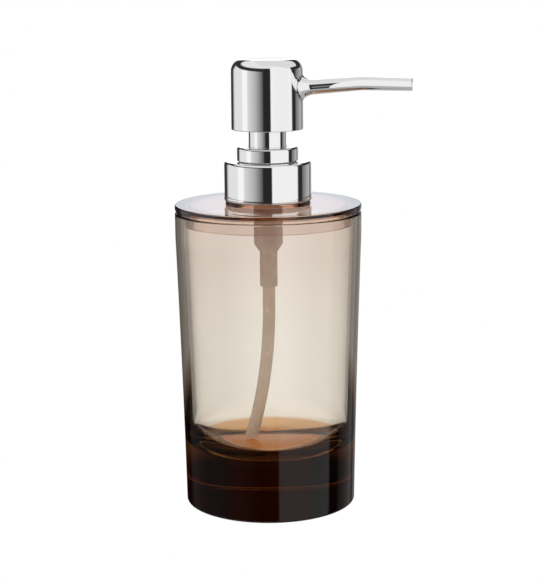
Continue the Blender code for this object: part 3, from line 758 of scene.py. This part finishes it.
def spout_rings():
    """(x, radius, hug) of every ring, along the outside to the tip and back down the bore."""
    flare, straight, bore = 24, 60, 30
    stations = [HEAD_R + SPOUT_FLARE_REACH * (k / flare) ** 1.6 for k in range(flare + 1)]
    start = stations[-1]
    stations += [start + (SPOUT_TIP_X - 0.3 * MM - start) * k / straight for k in range(1, straight + 1)]
    rings = [(x, spout_radius(x), spout_hug(x)) for x in stations]
    for k in range(1, 7):
        a = math.radians(15 * k)
        rings.append((SPOUT_TIP_X - SPOUT_TIP_ROUND + SPOUT_TIP_ROUND * math.sin(a),
                      SPOUT_TIP_R - SPOUT_TIP_ROUND + SPOUT_TIP_ROUND * math.cos(a), 0.0))
    bore_end = SPOUT_TIP_X - 0.1 * MM
    rings.append((SPOUT_TIP_X, SPOUT_BORE_R + 0.05 * MM, 0.0))
    rings.append((bore_end, SPOUT_BORE_R, 0.0))
    for k in range(1, bore + 1):
        x = bore_end + (HEAD_R - bore_end) * k / bore
        rings.append((x, SPOUT_BORE_R, spout_hug(x)))
    return rings


def build_spout(mat):
    """Side spout: flared foot that lies on the head, soft bend, square-cut open tip."""
    sides = 96
    rings = spout_rings()
    verts = []
    for x, r, hug in rings:
        for k in range(sides):
            a = 2 * math.pi * k / sides
            y, z = r * math.cos(a), r * math.sin(a)
            bend = math.sqrt(max((HEAD_R + 0.04 * MM) ** 2 - y * y, 0.0)) - HEAD_R
            verts.append((x + bend * hug, y, spout_centre(x) + z))
    faces = []
    for i in range(len(rings)):
        j = (i + 1) % len(rings)
        for k in range(sides):
            n = (k + 1) % sides
            faces.append((i * sides + k, i * sides + n, j * sides + n, j * sides + k))
    obj = new_piece("spout_visual", verts, faces, mat)
    return place(obj, "head", "chrome_plating", "spout")


# ---- stage -----------------------------------------------------------------------------------
FILL = 1.1                       # light that reaches the dull pieces inside
FLOOR_R = 0.3
FLOOR_SIDES = 72
FLOOR_DROP = 0.05 * MM

CAMERA_DISTANCE = 0.654224
CAMERA_HEIGHT = 0.216724
CAMERA_ASIDE = 0.0010433
CAMERA_PITCH = 0.196854
CAMERA_ROLL = 0.0093888
CAMERA_LENS = 103.4

# Directions in the surround: azimuth in degrees, 0 towards the camera and negative on its left;
# height is the upward part of the direction, from -1 to 1. A fade is a pair of heights.
SURROUND = [                     # azimuth, brightness: soft boxes and dark gaps in mirrored light
    (-180, 0.95), (-171, 0.95), (-169, 0.04), (-139, 0.04), (-132, 0.50), (-125, 0.76), (-88, 0.78),
    (-84, 0.95), (-68, 0.95), (-64, 0.70), (-38, 0.46), (-15, 0.11), (-11, 0.02), (10, 0.02),
    (12.5, 0.90), (84, 0.90), (88, 0.025), (102, 0.025), (105, 0.16), (140, 0.5), (142, 0.165),
    (150, 0.165), (153, 0.39), (168, 0.39), (171, 0.95), (180, 0.95)]
THROUGH = [                      # the same for light that has passed through the walls
    (-180, 1.06), (-176, 0.91), (-168, 0.93), (-163, 0.82), (-159, 0.20), (-155, 0.11), (-140, 0.14),
    (-120, 0.5), (-20, 0.5), (20, 0.5), (120, 0.6), (140, 0.36), (150, 0.26),
    (157, 0.30), (160, 0.75), (163, 0.93), (168, 0.95), (176, 0.93), (180, 1.06)]

LOW_FADE = (-0.235, -0.175)      # the boxes are shaded below this
LOW_SHADE_LEFT = 0.12
LOW_SHADE_RIGHT = 0.62
TABLE_FADE = (-0.62, -0.45)      # the table's grey, seen by surfaces that face down
TABLE_GLOW = 0.42
GLARE_FADE = (0.10, 0.135)       # bright panel behind, low over the lid
GLARE_WIDTH = (0.10, 0.14)
GLARE = 1.40
GLARE_TINT = (0.92, 0.98, 1.08, 1.0)
GAP_LEFT = (-172, -7)            # azimuths where it is dark between the boxes and the ceiling
GAP_RIGHT = (86, 171)
GAP_GLOW = 0.03
GAP_EDGE = 0.03
SKYLINE_LEFT = ((-120, 0.36), (-10, 0.10))      # azimuth and height of the left boxes' top edge
SKYLINE_RIGHT = 0.16
CEILING_FADE = (0.58, 0.66)
CEILING = 0.80

CROSSED_CEILING_FADE = (0.3, 0.5)
CROSSED_CEILING = 0.8
WALL_GLOW = 0.25                 # seen along the wall, where light never reaches the hollow
WALL_FADE = (-0.270, -0.246)     # below this a ray runs in the foot, above it in the wall
UPWARD_FADE = (-0.06, 0.0)       # above this it has come up from the underside
FOOT_DIM = 0.05
FOOT_TINT = (1.0, 0.50, 0.33, 1.0)
WHITE = (1.0, 1.0, 1.0, 1.0)


def between(tree, depth, low, high):
    """1 while a ray's depth is between low and high, else 0."""
    over = tree.calc("GREATER_THAN", depth, low - 0.5)
    under = tree.calc("LESS_THAN", depth, high + 0.5)
    return tree.calc("MULTIPLY", over, under)


def build_floor():
    """Pale round table top that the camera sees and that lights the dull pieces."""
    verts = []
    for k in range(FLOOR_SIDES):
        a = 2 * math.pi * k / FLOOR_SIDES
        verts.append((FLOOR_R * math.cos(a), FLOOR_R * math.sin(a), -FLOOR_DROP))
    mat = bpy.data.materials.new("floor_white")
    mat.use_nodes = True
    tree = Tree(mat.node_tree)
    shader = mat.node_tree.nodes["Principled BSDF"]
    shader.inputs["Base Color"].default_value = (0.85, 0.85, 0.85, 1.0)
    shader.inputs["Specular IOR Level"].default_value = 0.0
    path = tree.add("ShaderNodeLightPath").outputs
    glow = tree.add("ShaderNodeEmission", {"Strength": 1.0})
    fill = tree.add("ShaderNodeEmission", {"Strength": FILL})
    through = tree.add("ShaderNodeBsdfTransparent")
    crossed = between(tree, path["Transmission Depth"], 1, 99)
    choices = (
        (path["Is Camera Ray"], glow.outputs["Emission"]),
        (tree.calc("MAXIMUM", path["Is Glossy Ray"], crossed), through.outputs["BSDF"]),
        (between(tree, path["Diffuse Depth"], 1, 99), fill.outputs["Emission"]))
    surface = shader.outputs["BSDF"]
    for share, choice in choices:
        mix = tree.add("ShaderNodeMixShader", {0: share, 1: surface, 2: choice})
        surface = mix.outputs["Shader"]
    tree.feed(mat.node_tree.nodes["Material Output"], "Surface", surface)
    obj = new_piece("floor", verts, [tuple(range(FLOOR_SIDES))], mat)


def azimuth_ramp(tree, share, stops_wanted):
    """Brightness by azimuth, where share runs from 0 to 1 round the ring."""
    ramp = tree.add("ShaderNodeValToRGB", {"Fac": share})
    stops = ramp.color_ramp.elements
    stops[0].position = 0.0
    stops[1].position = 1.0
    for stop, value in ((stops[0], stops_wanted[0][1]), (stops[1], stops_wanted[-1][1])):
        stop.color = (value, value, value, 1.0)
    for azimuth, value in stops_wanted[1:-1]:
        stop = stops.new((azimuth + 180) / 360)
        stop.color = (value, value, value, 1.0)
    return ramp.outputs["Color"]


def window(tree, angle, start, end, soft=2):
    """1 between two azimuths, falling to 0 at both."""
    rise = tree.spread(angle, math.radians(start), math.radians(start + soft), 0.0, 1.0)
    fall = tree.spread(angle, math.radians(end - soft), math.radians(end), 1.0, 0.0)
    return tree.calc("MULTIPLY", rise, fall)


def mirrored_light(tree, share, angle, aside, away, height):
    """What the plated pieces and the clear surfaces mirror, and the share of the panel behind."""
    ring = azimuth_ramp(tree, share, SURROUND)
    side = tree.spread(angle, math.radians(-7.0), math.radians(8.0), LOW_SHADE_LEFT, LOW_SHADE_RIGHT)
    low = tree.spread(height, *LOW_FADE, 1.0, 0.0)
    light = tree.calc("MULTIPLY", ring, tree.blend(low, 1.0, side))
    light = tree.blend(tree.spread(height, *TABLE_FADE, 1.0, 0.0), light, TABLE_GLOW)
    behind = tree.calc("MULTIPLY", tree.spread(away, 0.0, 0.10, 0.0, 1.0),
                       tree.spread(tree.calc("ABSOLUTE", aside), *GLARE_WIDTH, 1.0, 0.0))
    glare = tree.calc("MULTIPLY", behind, tree.spread(height, *GLARE_FADE, 0.0, 1.0))
    light = tree.blend(glare, light, GLARE)
    (near, near_top), (far, far_top) = SKYLINE_LEFT
    skyline_left = tree.spread(angle, math.radians(near), math.radians(far), near_top, far_top)
    for gap, skyline in ((GAP_LEFT, skyline_left), (GAP_RIGHT, SKYLINE_RIGHT)):
        over = tree.spread(tree.calc("SUBTRACT", height, skyline), 0.0, GAP_EDGE, 0.0, 1.0)
        dark = tree.calc("MULTIPLY", window(tree, angle, *gap), over)
        light = tree.blend(dark, light, GAP_GLOW)
    return tree.blend(tree.spread(height, *CEILING_FADE, 0.0, 1.0), light, CEILING), glare


def crossed_light(tree, share, height, depth):
    """What is seen through the walls, along them and from inside the foot, and the foot's share."""
    light = azimuth_ramp(tree, share, THROUGH)
    light = tree.blend(tree.spread(height, *CROSSED_CEILING_FADE, 0.0, 1.0), light, CROSSED_CEILING)
    solid = between(tree, depth, 1, 3)
    level = tree.calc("MULTIPLY", tree.spread(height, *WALL_FADE, 0.0, 1.0),
                      tree.spread(height, *UPWARD_FADE, 1.0, 0.0))
    foot_share = tree.calc("MULTIPLY", solid, tree.calc("SUBTRACT", 1.0, level))
    inside = tree.blend(level, tree.calc("MULTIPLY", light, FOOT_DIM), WALL_GLOW)
    return tree.blend(solid, light, inside), foot_share


def build_world():
    """Tall soft boxes and dark gaps in a ring; the camera itself sees plain white."""
    world = bpy.data.worlds.new("studio")
    bpy.context.scene.world = world
    world.use_nodes = True
    tree = Tree(world.node_tree)
    back = world.node_tree.nodes["Background"]
    coords = tree.add("ShaderNodeTexCoord")
    facing = tree.add("ShaderNodeMapping", {"Vector": coords.outputs["Generated"],
                                            "Rotation": (0.0, 0.0, -CAMERA_TURN)})
    parts = tree.add("ShaderNodeSeparateXYZ", {"Vector": facing.outputs["Vector"]}).outputs
    aside, away, height = parts["X"], parts["Y"], parts["Z"]
    angle = tree.calc("ARCTAN2", aside, tree.calc("MULTIPLY", away, -1.0))
    share = tree.spread(angle, -math.pi, math.pi, 0.0, 1.0)
    path = tree.add("ShaderNodeLightPath").outputs
    mirrored, glare = mirrored_light(tree, share, angle, aside, away, height)
    crossed, foot_share = crossed_light(tree, share, height, path["Transmission Depth"])

    light = tree.blend(between(tree, path["Transmission Depth"], 1, 99), mirrored, crossed)
    light = tree.blend(between(tree, path["Diffuse Depth"], 1, 99), light, FILL)
    tree.feed(back, "Strength", tree.blend(path["Is Camera Ray"], light, 1.0))
    cooled = tree.blend_colour(glare, WHITE, GLARE_TINT)
    tree.feed(back, "Color", tree.blend_colour(foot_share, cooled, FOOT_TINT))


def turned(vector):
    return Matrix.Rotation(CAMERA_TURN, 3, "Z") @ Vector(vector)


def build_card(name, corners, strength):
    """Soft reflector that only mirrored rays see."""
    mat = bpy.data.materials.new(name)
    mat.use_nodes = True
    tree = Tree(mat.node_tree)
    glow = tree.add("ShaderNodeEmission", {"Strength": strength})
    tree.feed(mat.node_tree.nodes["Material Output"], "Surface", glow.outputs["Emission"])
    obj = new_piece(name, [turned(corner) for corner in corners], [(0, 1, 2, 3)], mat)
    obj.visible_camera = False
    obj.visible_diffuse = False
    obj.visible_transmission = False
    obj.visible_shadow = False


def build_cards():
    """Two reflectors that light the spout from in front and from above."""
    near, far = -40 * MM, 60 * MM
    left, right = HEAD_R * 0.9, SPOUT_TIP_X + 50 * MM
    low, high = SPOUT_Z - 22 * MM, SPOUT_Z + 60 * MM
    build_card("front_card", [(left, near, low), (right, near, low), (right, near, high),
                              (left, near, high)], 0.88)
    build_card("top_card", [(left - 30 * MM, near, high), (right, near, high), (right, far, high),
                            (left - 30 * MM, far, high)], 0.72)


def build_camera():
    """Long lens, a little above the object and looking slightly down."""
    data = bpy.data.cameras.new("camera")
    data.sensor_width = 36.0
    data.lens = CAMERA_LENS
    data.clip_start = 0.01
    obj = bpy.data.objects.new("camera", data)
    bpy.context.collection.objects.link(obj)
    ahead = Vector((0.0, math.cos(CAMERA_PITCH), -math.sin(CAMERA_PITCH)))
    above = Vector((0.0, math.sin(CAMERA_PITCH), math.cos(CAMERA_PITCH)))
    right = Vector((1.0, 0.0, 0.0))
    rolled_right = math.cos(CAMERA_ROLL) * right - math.sin(CAMERA_ROLL) * above
    rolled_up = math.sin(CAMERA_ROLL) * right + math.cos(CAMERA_ROLL) * above
    matrix = Matrix((rolled_right, rolled_up, -ahead)).transposed().to_4x4()
    matrix.translation = Vector((CAMERA_ASIDE, -CAMERA_DISTANCE, CAMERA_HEIGHT))
    obj.matrix_world = Matrix.Rotation(CAMERA_TURN, 4, "Z") @ matrix
    bpy.context.scene.camera = obj


def set_render():
    scene = bpy.context.scene
    scene.view_settings.view_transform = "Standard"
    scene.cycles.max_bounces = 24
    scene.cycles.transmission_bounces = 24
    scene.cycles.transparent_max_bounces = 24
    scene.cycles.glossy_bounces = 12


def repaint(mats):
    """CAD pieces that stay as they are take the detailed materials."""
    kept = {
        "neck_gasket": "seal", "stem_guide": "natural", "stem_wiper": "seal", "ball_stop": "natural",
        "inlet_ball": "steel", "collar_liner": "liner", "stem": "natural", "piston": "seal",
        "piston_keeper": "natural", "outlet_ball": "steel", "head_core": "natural",
        "spout_liner": "natural"}
    for name, key in kept.items():
        nodes[name].material_slots[0].material = mats[key]


def main():
    mats = {
        "clear": acrylic("tinted_acrylic", CLEAR_DENSITY, TINT, BODY_TONE_AND_SHADE_LEVELS),
        "lid": acrylic("lid_acrylic", LID_DENSITY, LID_TINT, LID_TONE_AND_SHADE_LEVELS),
        "chrome": chrome(),
        "natural": natural_plastic(),
        "tube": tube_plastic(),
        "seal": sealing_rubber(),
        "steel": steel(),
        "liner": liner_plastic(),
    }
    build_camera()
    build_world()
    build_cards()
    build_floor()
    build_tumbler(mats["clear"])
    build_lid(mats["lid"])
    build_cylinder(mats["natural"])
    build_tube(mats["tube"])
    build_spring(mats["steel"])
    build_collar(mats["chrome"])
    build_step(mats["chrome"])
    build_sleeve(mats["chrome"])
    build_head(mats["chrome"])
    build_spout(mats["chrome"])
    repaint(mats)
    set_render()


main()
